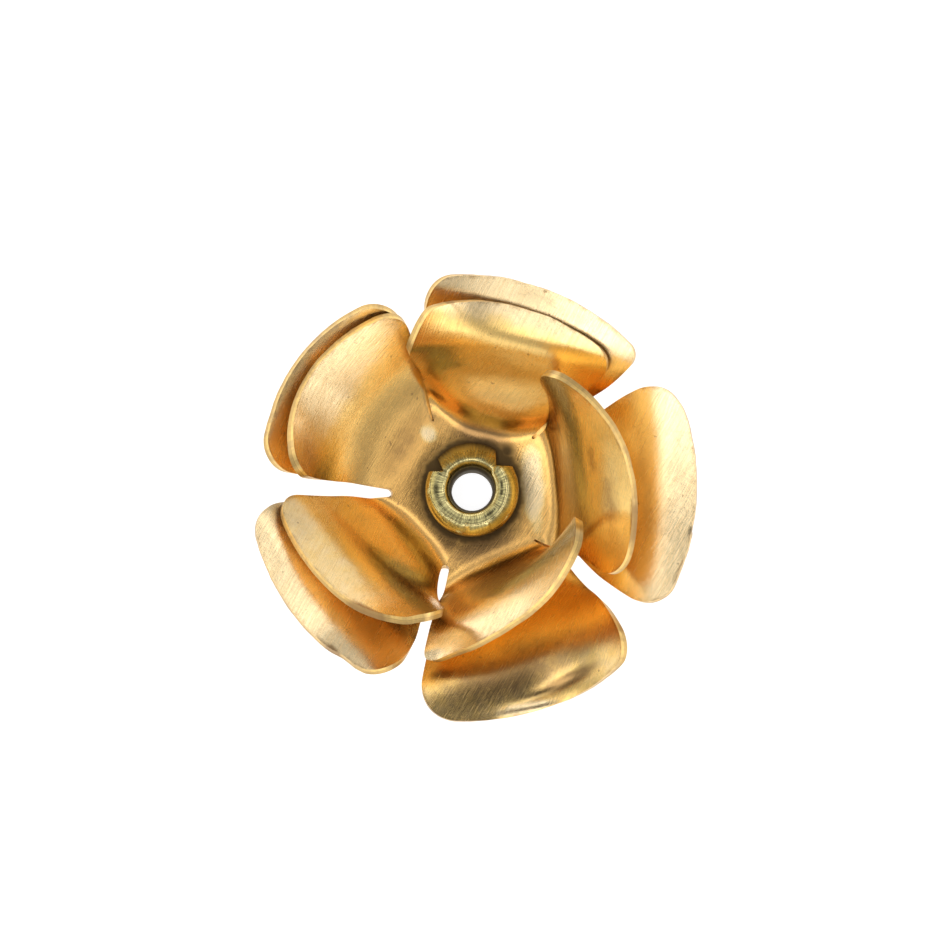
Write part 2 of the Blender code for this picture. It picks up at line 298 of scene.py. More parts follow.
# Where a finish changes: in millimetres, where the change starts and where it is full. The first five count
# from the axis, the dark spot from its own place, wear and painted highlight down from the head's top, and
# dirt and painted shade up from its foot. The grime ring, the dark spot and the throat are grime and painted
# shade.
HUB_BROWN = (7.5, 3.6)
GRIME_AND_SHADE_RING = (3.10, 2.66)
INNER_SLOPE = (1.40, 1.22)
OUTER_SLOPE = (1.78, 2.05)
THROAT = (1.22, 1.08)
DARK_SPOT = (0.66, 0.10)
RIDGE_WEAR_AND_HIGHLIGHT = (0.030, 0.005)
CORNER_DIRT_AND_SHADE = (0.72, 0.22)
DARK_SPOT_PLACE = (1.70, 1.95, 0.0)

# The picture's width and the middle of the eyelet's foot in it, in pixels, and the floor's radius
PICTURE = 950.0
FOOT_PIXEL = Vector((472.0, 493.5))
FLOOR_RADIUS = 1.5

# The light tent's walls: the sine of the height over the floor, and the brightness there
Wall = namedtuple("Wall", "high level")
TENT_WALLS = (
    Wall(0.0, 1.30),
    Wall(0.30, 1.30),
    Wall(0.48, 0.56),
    Wall(0.74, 0.50),
    Wall(0.84, 1.95),
    Wall(0.96, 1.95),
    Wall(1.0, 0.40),
)

# Places of the light tent that differ from its walls: heading and height of the middle in degrees, half
# angles where the change is full and where it ends, and the strength, below 1 where it is darker and above
# 1 where it is brighter
Place = namedtuple("Place", "heading height full end strength")
PLACES = (
    Place(80, 82, 13, 24, 0.04),
    Place(325, 52, 12, 36, 0.62),
    Place(190, 66, 14, 36, 1.15),
    Place(315, 12, 12, 36, 1.55),
    Place(135, 10, 12, 42, 1.5),
    Place(0, 12, 10, 34, 1.35),
    Place(225, 8, 10, 36, 0.55),
    Place(45, 12, 10, 30, 0.65),
    Place(150, 45, 10, 30, 0.6),
)


def millimetres(name, description, default):
    """A length that the user can change."""
    return FloatProperty(
        name=name, description=description, default=default, min=0.0, precision=5,
        subtype="DISTANCE", unit="LENGTH")


def colour(name, description, default):
    """A colour that the user can change."""
    return FloatVectorProperty(
        name=name, description=description, default=default, size=3, min=0.0, max=1.0, subtype="COLOR")


def share(name, description, default):
    """A number from 0 to 1 that the user can change."""
    return FloatProperty(
        name=name, description=description, default=default, min=0.0, max=1.0, subtype="FACTOR")


class BeadCapSizes(bpy.types.PropertyGroup):
    """Sizes of the cap's pieces."""

    sheet: millimetres("Sheet", "Thickness of the brass sheet", 0.40 * MM)
    outer_reach: millimetres("Lower reach", "From the axis to a lower petal's rim, measured flat", 12.0 * MM)
    inner_reach: millimetres("Upper reach", "From the axis to an upper petal's rim, measured flat", 11.0 * MM)
    slit_root: millimetres("Slit root", "From the axis to the closed end of a slit", 3.9 * MM)
    slit_width: millimetres("Slit width", "Width of the slit between two petals", 0.9 * MM)
    corner: millimetres("Petal corner", "Rounding of a petal's corners", 1.5 * MM)
    dish_rise: millimetres("Dish rise", "How far the hub rises towards its edge", 0.30 * MM)
    dish_run: millimetres("Dish run", "How far out the hub's rise takes", 2.6 * MM)
    cut_round: millimetres("Cut edge round", "Rounding along the cut edge of the sheet", 0.06 * MM)
    waviness: millimetres("Waviness", "Height of the sheet's slow waves", 0.020 * MM)
    rim_waver: millimetres("Rim waver", "How far the sheared rim strays from its line", 0.035 * MM)
    hole: millimetres("Hole", "Width of the eyelet's hole", 2.0 * MM)
    barrel_wall: millimetres("Barrel wall", "Thickness of the eyelet's barrel", 0.25 * MM)
    bore_clearance: millimetres("Bore clearance", "Room between the barrel and the flowers", 0.10 * MM)
    foot_radius: millimetres("Foot radius", "Half the width of the eyelet's foot", 2.05 * MM)
    foot_thick: millimetres("Foot thickness", "Thickness of the eyelet's foot", 0.30 * MM)
    foot_round: millimetres("Foot round", "Rounding of the foot's edges", 0.12 * MM)
    head_height: millimetres("Head height", "Height of the rolled head over the flowers", 0.75 * MM)
    setting_marks: millimetres("Setting marks", "Depth of the marks that run out from the hole", 0.014 * MM)


class BeadCapFinish(bpy.types.PropertyGroup):
    """Colours and surface of the brass."""

    # Pale brass is the tone of random rubbed patches and also the colour of the painted highlights
    pale: colour("Pale brass", "Brass rubbed bright", (0.98, 0.77, 0.45))
    warm: colour("Warm brass", "Brass with a first warm tarnish", (0.94, 0.64, 0.22))
    amber: colour("Amber brass", "Browner brass of the hub", (0.86, 0.49, 0.15))
    # Tarnish also colours the painted shade of the marks
    tarnish_and_shade: colour("Tarnish", "Brown tarnish in spots and along rims", (0.30, 0.17, 0.07))
    cut_edge: colour("Cut edge", "Sheared edge of the sheet", (0.64, 0.43, 0.17))
    eyelet_brass: colour("Eyelet brass", "Olive yellow brass of the eyelet", (0.50, 0.44, 0.20))
    eyelet_streak: colour("Eyelet streaks", "Darker streaks that run out from the hole", (0.28, 0.24, 0.11))
    # Worn ridges are wear together with a painted highlight on the ridges' tops
    eyelet_worn_and_highlight: colour("Worn ridges", "Bright ridges of the eyelet", (0.94, 0.78, 0.36))
    eyelet_gold: colour("Eyelet slopes", "Golden slopes of the eyelet", (0.58, 0.45, 0.14))
    # Grime is dirt together with painted shade round the eyelet, in its throat and at its foot
    grime_and_shade: colour("Grime", "Dark dirt in the corners", (0.07, 0.045, 0.02))
    roughness: share("Roughness", "How satin the brushed sheet is", 0.24)
    brush_angle: FloatProperty(
        name="Brush angle", description="Direction of the brush lines from +X", default=math.radians(62),
        subtype="ANGLE", unit="ROTATION")


class BeadCapStudio(bpy.types.PropertyGroup):
    """Floor, light and camera."""

    floor: colour("Floor", "Pale floor", (0.40, 0.40, 0.40))
    floor_glow: share("Floor glow", "Light that the floor gives off, as a light table does", 0.90)
    tent: FloatProperty(name="Tent light", description="Brightness of the tent's walls", default=1.0, min=0.0)
    camera_tilt: FloatProperty(
        name="Camera tilt", description="How far the camera leans from straight above",
        default=math.radians(6), subtype="ANGLE", unit="ROTATION")
    camera_distance: millimetres("Camera distance", "From the camera to the eyelet's foot", 300.0 * MM)
    view_width: millimetres("View width", "Width that the picture shows at the eyelet's foot", 46.84 * MM)


def eased(amount):
    """Ease from 0 to 1, flat at both ends."""
    amount = min(max(amount, 0.0), 1.0)
    return amount * amount * (3.0 - 2.0 * amount)


def bell(distance, half_width):
    """1 at the middle, falling away smoothly past the half width."""
    return math.exp(-(distance / half_width) ** 2)


def fold_line(sizes):
    """Distance from the axis to the chord between two slit roots, where a petal folds up."""
    return sizes.slit_root * math.cos(SECTOR / 2)


def blade_share(sizes, along, reach):
    """How far a point is from the fold towards the rim, from 0 to 1."""
    return (along - fold_line(sizes)) / (reach - fold_line(sizes))


def slit_half_width(sizes, radius, reach, root_share):
    """Half the slit's width: round at its closed end, and wider towards the rim."""
    opened = eased(blade_share(sizes, radius, reach) / SLIT_OPEN_SHARE)
    half = sizes.slit_width / 2 * (root_share + (1.0 - root_share) * opened)
    past_root = min((radius - sizes.slit_root) / half, 1.0)
    return half * math.sqrt(max(1.0 - (1.0 - past_root) ** 2, 0.0))


def side_angle(sizes, radius, reach, span, corner, slit):
    """Angle from a petal's line to its side at a radius of the flat blank."""
    if radius <= sizes.slit_root:
        return SECTOR / 2
    side = SECTOR / 2 - math.asin(slit_half_width(sizes, radius, reach, slit) / radius)
    widest = SECTOR / 2 - math.asin(sizes.slit_width / 2 / reach)
    side -= (widest - math.radians(span)) * (radius - sizes.slit_root) / (reach - sizes.slit_root)
    rounding = sizes.corner * corner
    into_corner = min(max((radius - (reach - rounding)) / rounding, 0.0), 1.0)
    side -= rounding * (1.0 - math.sqrt(1.0 - into_corner ** 2)) / reach
    return side


def slope(amount, petal):
    """Slope of the petal's own line at a share of its length, in radians."""
    if amount <= 0.0:
        return 0.0
    middle = MID_SHARE + petal.late
    if amount < petal.fold:
        degrees = petal.lift_root * eased(amount / petal.fold)
    elif amount < middle:
        step = eased((amount - petal.fold) / (middle - petal.fold))
        degrees = petal.lift_root + (petal.lift_mid - petal.lift_root) * step
    else:
        step = eased((amount - middle) / (FLAT_SHARE - middle))
        degrees = petal.lift_mid + (petal.lift_rim - petal.lift_mid) * step
    return math.radians(degrees)


def spine(sizes, blank, petal):
    """Stations along the petal's own line: flat distance, distance out and height once bent."""
    reach = petal.reach * blank.reach
    flat = np.linspace(0.0, reach + sizes.corner, SPINE_STEPS)
    slopes = [slope(blade_share(sizes, s, reach), petal) for s in flat]
    step = flat[1] - flat[0]
    middles = (np.array(slopes[1:]) + np.array(slopes[:-1])) / 2
    out = np.concatenate(([0.0], np.cumsum(np.cos(middles) * step)))
    high = np.concatenate(([0.0], np.cumsum(np.sin(middles) * step)))
    return flat, out, high


def curl(across, start, bend):
    """Across and up components of an arc that starts at one slope and turns at a steady rate."""
    if abs(bend) < 1e-3:
        return across * math.cos(start), across * math.sin(start)
    end = start + bend * across
    return (math.sin(end) - math.sin(start)) / bend, (math.cos(start) - math.cos(end)) / bend


def marks_here(sizes, blank, index, along, across, half_width):
    """Rise in metres, tarnish and painted shade, and painted highlight that the marks and the petal's pale
    share give a point of a petal.
    """
    petal = blank.petals[index]
    reach = petal.reach * blank.reach
    rise = 0.0
    stain = 0.0
    # The petal's outer part gets a painted highlight, as strong as its pale share
    highlight_from = PAINTED_HIGHLIGHT_FROM + LATE_HIGHLIGHT * petal.late
    worn = petal.pale * eased((blade_share(sizes, along, reach) - highlight_from) / (PAINTED_HIGHLIGHT_FULL - PAINTED_HIGHLIGHT_FROM))
    for mark in MARKS:
        if mark.flower != blank.name or mark.petal != index:
            continue
        turn = math.radians(mark.turn)
        off_along = (blade_share(sizes, along, reach) - mark.along) * (reach - fold_line(sizes)) / MM
        off_across = (across - mark.across * half_width) / MM
        length = (off_along * math.cos(turn) + off_across * math.sin(turn)) / mark.long
        width = (off_across * math.cos(turn) - off_along * math.sin(turn)) / mark.wide
        amount = bell(math.hypot(length, width), 1.0)
        rise += mark.rise * 0.01 * MM * amount
        # Marks above 0 add tarnish and painted shade, and marks below 0 a painted highlight
        stain = max(stain, mark.stain * amount)
        worn = max(worn, -mark.stain * amount)
    return rise, stain, worn


def sheet_waves(sizes, blank, index, along, across):
    """Height of the slow random waves of the sheet over its bent form."""
    place = Vector((along / MM, across / MM, blank.seed + 7.0 * index))
    return sizes.waviness * sum(wave.part * noise.noise(place * wave.fineness) for wave in SHEET_WAVES)


def rim_bite(sizes, blank, index, radius, angle, reach):
    """How far the sheared rim is drawn in at a point, by its waver and its nicks."""
    near_rim = eased((radius - WAVER_FROM * reach) / (WAVER_RUN * reach))
    if near_rim == 0.0:
        return 0.0
    across = radius * math.sin(angle)
    half_width = reach * math.sin(SECTOR / 2)
    bite = 0.0
    for wave in RIM_WAVES:
        place = Vector((across / MM * wave.fineness, blank.seed, 5.0 * index))
        bite += wave.part * sizes.rim_waver * noise.noise(place)
    for nick in NICKS:
        if nick.flower == blank.name and nick.petal == index:
            bite += nick.depth * MM * bell(across / half_width - nick.across, nick.wide * MM / half_width)
    return bite * near_rim


def root_warp(sizes, blank, index, radius, angle, reach):
    """Turn that shifts the roots of the petal's two slits, fading out on the hub and along the blade."""
    ccw = blank.petals[index].root_turn
    cw = blank.petals[index - 1].root_turn
    turn = cw + (ccw - cw) * (angle / SECTOR + 0.5)
    bore = sizes.hole / 2 + sizes.barrel_wall
    on_hub = eased((radius - bore) / (sizes.slit_root - bore))
    on_blade = 1.0 - eased(blade_share(sizes, radius, reach) / ROOT_TURN_SHARE)
    return math.radians(turn) * on_hub * on_blade


def bent_point(sizes, blank, index, line, radius, angle):
    """Place on the bent upper face of a point of the flat petal, with its tarnish and painted shade, and its
    painted highlight.
    """
    petal = blank.petals[index]
    reach = petal.reach * blank.reach
    angle += root_warp(sizes, blank, index, radius, angle, reach)
    radius -= rim_bite(sizes, blank, index, radius, angle, reach)
    along = radius * math.cos(angle)
    across = radius * math.sin(angle)
    to_side = min(abs(angle) / (SECTOR / 2), 1.0)
    faded = eased(blade_share(sizes, along, reach) / LEAD_SHARE)
    lead = petal.lead * MM * (1.0 - to_side ** 3) * (1.0 - faded)
    flat, out, high = line
    station = along + lead
    amount = blade_share(sizes, station, reach)
    grown = CUP_EASED_PART * eased(amount / CUP_FULL_SHARE)
    grown += (1.0 - CUP_EASED_PART) * min(max(amount, 0.0), 1.0)
    cup = petal.cup_ccw if across > 0.0 else petal.cup_cw
    half_width = reach * math.sin(SECTOR / 2 - sizes.slit_width / reach)
    side, rise = curl(across, math.radians(petal.roll) * grown, math.radians(cup) * grown / half_width)
    dented, stain, worn = marks_here(sizes, blank, index, along, across, half_width)
    rise += (dented + sheet_waves(sizes, blank, index, along, across)) * eased(amount / RELIEF_SHARE)
    tilt = slope(amount, petal)
    dish = sizes.dish_rise * eased((radius - DISH_START) / sizes.dish_run)
    place = Vector((
        along - station + float(np.interp(station, flat, out)) - rise * math.sin(tilt),
        side,
        float(np.interp(station, flat, high)) + rise * math.cos(tilt) + dish + blank.top,
    ))
    sector_heading = blank.turn + math.degrees(SECTOR) * index
    swing = (petal.heading - sector_heading) * eased(amount / SWING_SHARE)
    return Matrix.Rotation(math.radians(sector_heading + swing), 3, "Z") @ place, stain, worn


def row_radii(sizes, reach):
    """Radii of the rows of a petal's grid, from the bore to the rim."""
    bore = sizes.hole / 2 + sizes.barrel_wall + sizes.bore_clearance
    hub = np.linspace(bore, sizes.slit_root, HUB_ROWS + 1)
    turns = np.linspace(0.0, math.pi / 2, ROOT_ROWS + 1)[1:]
    root = [sizes.slit_root + sizes.slit_width / 2 * (1.0 - math.cos(turn)) for turn in turns]
    corner_start = reach - sizes.corner
    blade = np.linspace(root[-1], corner_start, BLADE_ROWS + 1)[1:]
    turns = np.linspace(0.0, math.pi / 2, CORNER_ROWS + 1)[1:]
    corner = [corner_start + sizes.corner * math.sin(turn) for turn in turns]
    return [*hub, *root, *blade, *corner]


def cut_distance(sizes, radius, angle, side, reach):
    """Distance from a flat point to the nearest cut edge of its petal."""
    to_rim = reach - radius
    if radius > sizes.slit_root:
        return max(min(to_rim, (side - abs(angle)) * radius), 0.0)
    off_slit = SECTOR / 2 - abs(angle)
    root = Vector((sizes.slit_root, 0.0)) - Vector((math.cos(off_slit), math.sin(off_slit))) * radius
    return root.length


def add_petal(mesh, sizes, finish, blank, index):
    """Bend one sector of the blank, with its part of the hub, out of a square grid."""
    petal = blank.petals[index]
    before = blank.petals[index - 1]
    reach = petal.reach * blank.reach
    radii = row_radii(sizes, reach)
    line = spine(sizes, blank, petal)
    brushing = mesh.loops.layers.uv[BRUSHING]
    edge_distance = mesh.verts.layers.float[EDGE_DISTANCE]
    stain_and_shade_layer = mesh.verts.layers.float[STAIN_AND_SHADE]
    highlight_layer = mesh.verts.layers.float[PAINTED_HIGHLIGHT]
    sector = math.radians(blank.turn) + SECTOR * index
    flat_places = {}
    grid = bmesh.ops.create_grid(mesh, x_segments=COLUMNS, y_segments=len(radii) - 1, size=1.0)
    for vert in grid["verts"]:
        radius = radii[round((vert.co.y + 1.0) / 2 * (len(radii) - 1))]
        left = side_angle(sizes, radius, reach, petal.span_ccw, petal.corner_ccw, petal.slit)
        right = side_angle(sizes, radius, reach, petal.span_cw, petal.corner_cw, before.slit)
        angle = (left - right) / 2 - vert.co.x * (left + right) / 2
        side = left if angle > 0.0 else right
        vert[edge_distance] = cut_distance(sizes, radius, angle, side, reach) / MM
        turned = sector + angle - finish.brush_angle + math.pi / 2
        flat_places[vert] = Vector((math.cos(turned), math.sin(turned))) * radius / BLANK_SPAN
        vert.co, vert[stain_and_shade_layer], vert[highlight_layer] = bent_point(sizes, blank, index, line, radius, angle)
    for face in {face for vert in grid["verts"] for face in vert.link_faces}:
        for loop in face.loops:
            loop[brushing].uv = flat_places[loop.vert] + Vector((0.5, 0.5))


def thickened(sizes, blank, mesh, materials):
    """The bent surface given its thickness downwards, with depth 0 on the upper face and 1 on the lower."""
    bare = finished_object(blank.name + "_bare", mesh, materials)
    wall = bare.modifiers.new("sheet thickness", "SOLIDIFY")
    wall.thickness = sizes.sheet
    wall.offset = -1.0
    wall.use_even_offset = True
    wall.material_offset_rim = 1
    count = len(bare.data.vertices)
    data = bpy.data.meshes.new_from_object(bare.evaluated_get(bpy.context.evaluated_depsgraph_get()))
    bpy.data.objects.remove(bare)
    depth = data.attributes.new(DEPTH, "FLOAT", "POINT")
    depth.data.foreach_set("value", np.repeat((0.0, 1.0), count))
    data.name = blank.name + "_sheet"
    return data


def add_flower(sizes, finish, blank, materials):
    """One flower: five bent sectors joined at the hub, thickened downwards, with rounded cut edges."""
    mesh = bmesh.new()
    mesh.loops.layers.uv.new(BRUSHING)
    mesh.verts.layers.float.new(EDGE_DISTANCE)
    mesh.verts.layers.float.new(STAIN_AND_SHADE)
    mesh.verts.layers.float.new(PAINTED_HIGHLIGHT)
    for index in range(PETALS):
        add_petal(mesh, sizes, finish, blank, index)
    bmesh.ops.remove_doubles(mesh, verts=mesh.verts, dist=MERGE)
    data = thickened(sizes, blank, mesh, materials)
    flower = bpy.data.objects.new(data.name, data)
    bpy.context.scene.collection.objects.link(flower)
    rounding = flower.modifiers.new("cut edge", "BEVEL")
    rounding.width = sizes.cut_round
    rounding.segments = CUT_EDGE_SEGMENTS
    rounding.limit_method = "ANGLE"
    rounding.angle_limit = ROUNDED_ANGLE
    rounding.harden_normals = True
    rounding.miter_outer = "MITER_SHARP"
    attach(flower, "root")
    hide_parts(blank.name)


def finished_object(name, mesh, materials):
    """A smooth-shaded object at the origin that holds a bmesh."""
    data = bpy.data.meshes.new(name)
    mesh.to_mesh(data)
    mesh.free()
    data.shade_smooth()
    for material in materials:
        data.materials.append(material)
    made = bpy.data.objects.new(name, data)
    bpy.context.scene.collection.objects.link(made)
    return made


def head_form(degrees):
    """Ridge radii, foot radius and splay of the head at a heading, all as shares."""
    headings = [row.heading for row in HEAD_FORM]
    return [float(np.interp(degrees, headings, [getattr(row, name) for row in HEAD_FORM], period=360))
            for name in ("inner", "outer", "foot", "splay")]


def notch_limit(degrees):
    """Radius that the notches leave the head at a heading."""
    limit = 2.0 * HEAD_RADIUS
    for notch in NOTCHES:
        off = abs((degrees - notch.heading + 180.0) % 360.0 - 180.0)
        half_mouth = notch.mouth * HEAD_RADIUS / 2
        tip = notch.tip * HEAD_RADIUS
        mouth_out = math.sqrt(HEAD_RADIUS ** 2 - half_mouth ** 2)
        if off >= math.degrees(math.atan2(half_mouth, mouth_out)):
            continue
        tangent = math.tan(math.radians(off))
        cut = math.hypot(1.0, tangent) * tip * half_mouth / (half_mouth - (mouth_out - tip) * tangent)
        limit = min(limit, cut)
    return limit


def setting_mark(sizes, degrees, place, splay):
    """Depth of the fine marks that run out from the hole, at a place across the head."""
    jitter = noise.noise(Vector((degrees * 0.09, 0.0, 2.0)))
    strength = 0.6 + 0.8 * noise.noise(Vector((degrees * 0.06, place * 0.4, 9.0)))
    lines = 0.5 + 0.5 * math.cos(math.radians(degrees * SETTING_LINES) + 3.0 * jitter)
    middle = 1.45 + 0.25 * splay
    return sizes.setting_marks * (1.0 + 1.4 * splay) * max(strength, 0.0) * lines * bell(place - middle, 0.75)


def head_points(sizes, degrees):
    """Radius and height of each station of the head's section at a heading."""
    inner, outer, foot, splay = head_form(degrees)
    bottom = HEAD_TOP - sizes.head_height
    ridges = (sizes.hole / 2, inner * HEAD_RADIUS, outer * HEAD_RADIUS, foot * HEAD_RADIUS)
    points = []
    for station in HEAD_SECTION:
        radius = float(np.interp(station.place, (0, 1, 2, 3), ridges))
        height = bottom + sizes.head_height * (station.rolled * (1.0 - splay) + station.splayed * splay)
        height -= setting_mark(sizes, degrees, station.place, splay)
        for burr in BURRS:
            off_round = (degrees - burr.heading) / burr.wide
            off_out = (radius - burr.radius * HEAD_RADIUS) / BURR_DEPTH
            height += burr.rise * MM * bell(math.hypot(off_round, off_out), 1.0)
        points.append((radius, height))
    limit = notch_limit(degrees)
    kept = next(number for number, (radius, _) in enumerate(points) if radius < limit)
    if kept > 0:
        height = points[kept][1]
        points[:kept] = [(limit, bottom + (height - bottom) * number / kept) for number in range(kept)]
    return points


def add_eyelet(sizes, materials):
    """The set eyelet: foot, barrel through both hubs, and notched head, part rolled and part splayed."""
    inner = sizes.hole / 2
    head_bottom = HEAD_TOP - sizes.head_height
    barrel = inner + sizes.barrel_wall
    turns = np.linspace(0.0, math.pi / 2, FOOT_STEPS)
    by_cosine = [sizes.foot_round * (1 - math.cos(turn)) for turn in turns]
    by_sine = [sizes.foot_round * (1 - math.sin(turn)) for turn in turns]
    outline = [*head_points(sizes, PLAIN_HEADING), (inner, head_bottom), (inner, sizes.foot_thick)]
    outline += [(inner + out, height) for out, height in zip(by_cosine, by_sine)]
    outline += [(sizes.foot_radius - back, height) for back, height in zip(by_sine, by_cosine)]
    outline += [(sizes.foot_radius, sizes.foot_thick), (barrel, sizes.foot_thick), (barrel, head_bottom)]
    mesh = bmesh.new()
    station = mesh.verts.layers.int.new("station")
    points = []
    for number, (radius, height) in enumerate(outline):
        vert = mesh.verts.new((radius, 0.0, height))
        vert[station] = number
        points.append(vert)
    edges = [mesh.edges.new(pair) for pair in zip(points, points[1:] + points[:1])]
    bmesh.ops.spin(
        mesh, geom=points + edges, cent=(0, 0, 0), axis=(0, 0, 1), angle=2 * math.pi, steps=TURNED_STEPS,
        use_merge=True)
    bmesh.ops.recalc_face_normals(mesh, faces=mesh.faces)
    sections = {}
    for vert in mesh.verts:
        if vert[station] >= len(HEAD_SECTION):
            continue
        turn = round(math.atan2(vert.co.y, vert.co.x) / (2 * math.pi) * TURNED_STEPS) % TURNED_STEPS
        if turn not in sections:
            sections[turn] = head_points(sizes, turn * 360.0 / TURNED_STEPS)
        radius, height = sections[turn][vert[station]]
        angle = turn * 2 * math.pi / TURNED_STEPS
        vert.co = (radius * math.cos(angle), radius * math.sin(angle), height)
    eyelet = finished_object("eyelet_set", mesh, materials)
    eyelet.data.set_sharp_from_angle(angle=SHARP_ANGLE)
    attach(eyelet, "root")
    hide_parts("eyelet")


class Finish:
    """Nodes of a material or a world. Its methods add nodes and return a socket, or shade the owner."""

    def __init__(self, owner, shader="Principled BSDF"):
        owner.use_nodes = True
        self.owner = owner
        self.tree = owner.node_tree
        self.shader = self.tree.nodes[shader]

    def add(self, kind, inputs, output=0, **settings):
        made = self.tree.nodes.new(kind)
        for setting, value in settings.items():
            setattr(made, setting, value)
        for key, value in inputs.items():
            self.put(made.inputs[key], value)
        return made.outputs[output]

    def put(self, socket, value):
        if isinstance(value, bpy.types.NodeSocket):
            self.tree.links.new(value, socket)
        elif socket.type == "RGBA":
            socket.default_value = (*value, 1.0)
        else:
            socket.default_value = value

    def math(self, operation, first, second=0.0, third=0.0):
        return self.add("ShaderNodeMath", {0: first, 1: second, 2: third}, operation=operation)

    def times(self, first, second):
        return self.math("MULTIPLY", first, second)

    def vector(self, operation, first, second=(0.0, 0.0, 0.0), output=0):
        return self.add("ShaderNodeVectorMath", {0: first, 1: second}, output=output, operation=operation)

    def attribute(self, name):
        return self.add("ShaderNodeAttribute", {}, output="Fac", attribute_name=name)

    def noise(self, vector, scale, detail, roughness):
        inputs = {"Vector": vector, "Scale": scale, "Detail": detail, "Roughness": roughness}
        return self.add("ShaderNodeTexNoise", inputs)

    def ramp(self, value, start, full, low=0.0, high=1.0):
        inputs = {"Value": value, "From Min": start, "From Max": full, "To Min": low, "To Max": high}
        return self.add("ShaderNodeMapRange", inputs, interpolation_type="SMOOTHSTEP")

    def blend(self, amount, first, second):
        return self.add("ShaderNodeMix", {"Factor": amount, 6: first, 7: second}, output=2, data_type="RGBA")

    def tint(self, brass, value, start, full, strength, colour):
        """Lay a colour over the brass as a value goes from start to full, up to a strength."""
        return self.blend(self.times(self.ramp(value, start, full), strength), brass, colour)

    def bump(self, height, distance, strength, normal=None):
        inputs = {"Height": height, "Distance": distance, "Strength": strength}
        if normal:
            inputs["Normal"] = normal
        return self.add("ShaderNodeBump", inputs)

    def shade(self, **inputs):
        for key, value in inputs.items():
            self.put(self.shader.inputs[key.replace("_", " ")], value)
        return self.owner


def object_mm(finish):
    """The place on the object in millimetres."""
    place = finish.add("ShaderNodeTexCoord", {}, output="Object")
    return finish.vector("MULTIPLY", place, (1000.0, 1000.0, 1000.0))


def flat_mm(finish):
    """The place on the flat blank, in millimetres from its middle: X across the brush lines, Y along them."""
    place = finish.vector("SUBTRACT", finish.add("ShaderNodeUVMap", {}, uv_map=BRUSHING), (0.5, 0.5, 0.0))
    span = BLANK_SPAN / MM
    return finish.vector("MULTIPLY", place, (span, span, span))


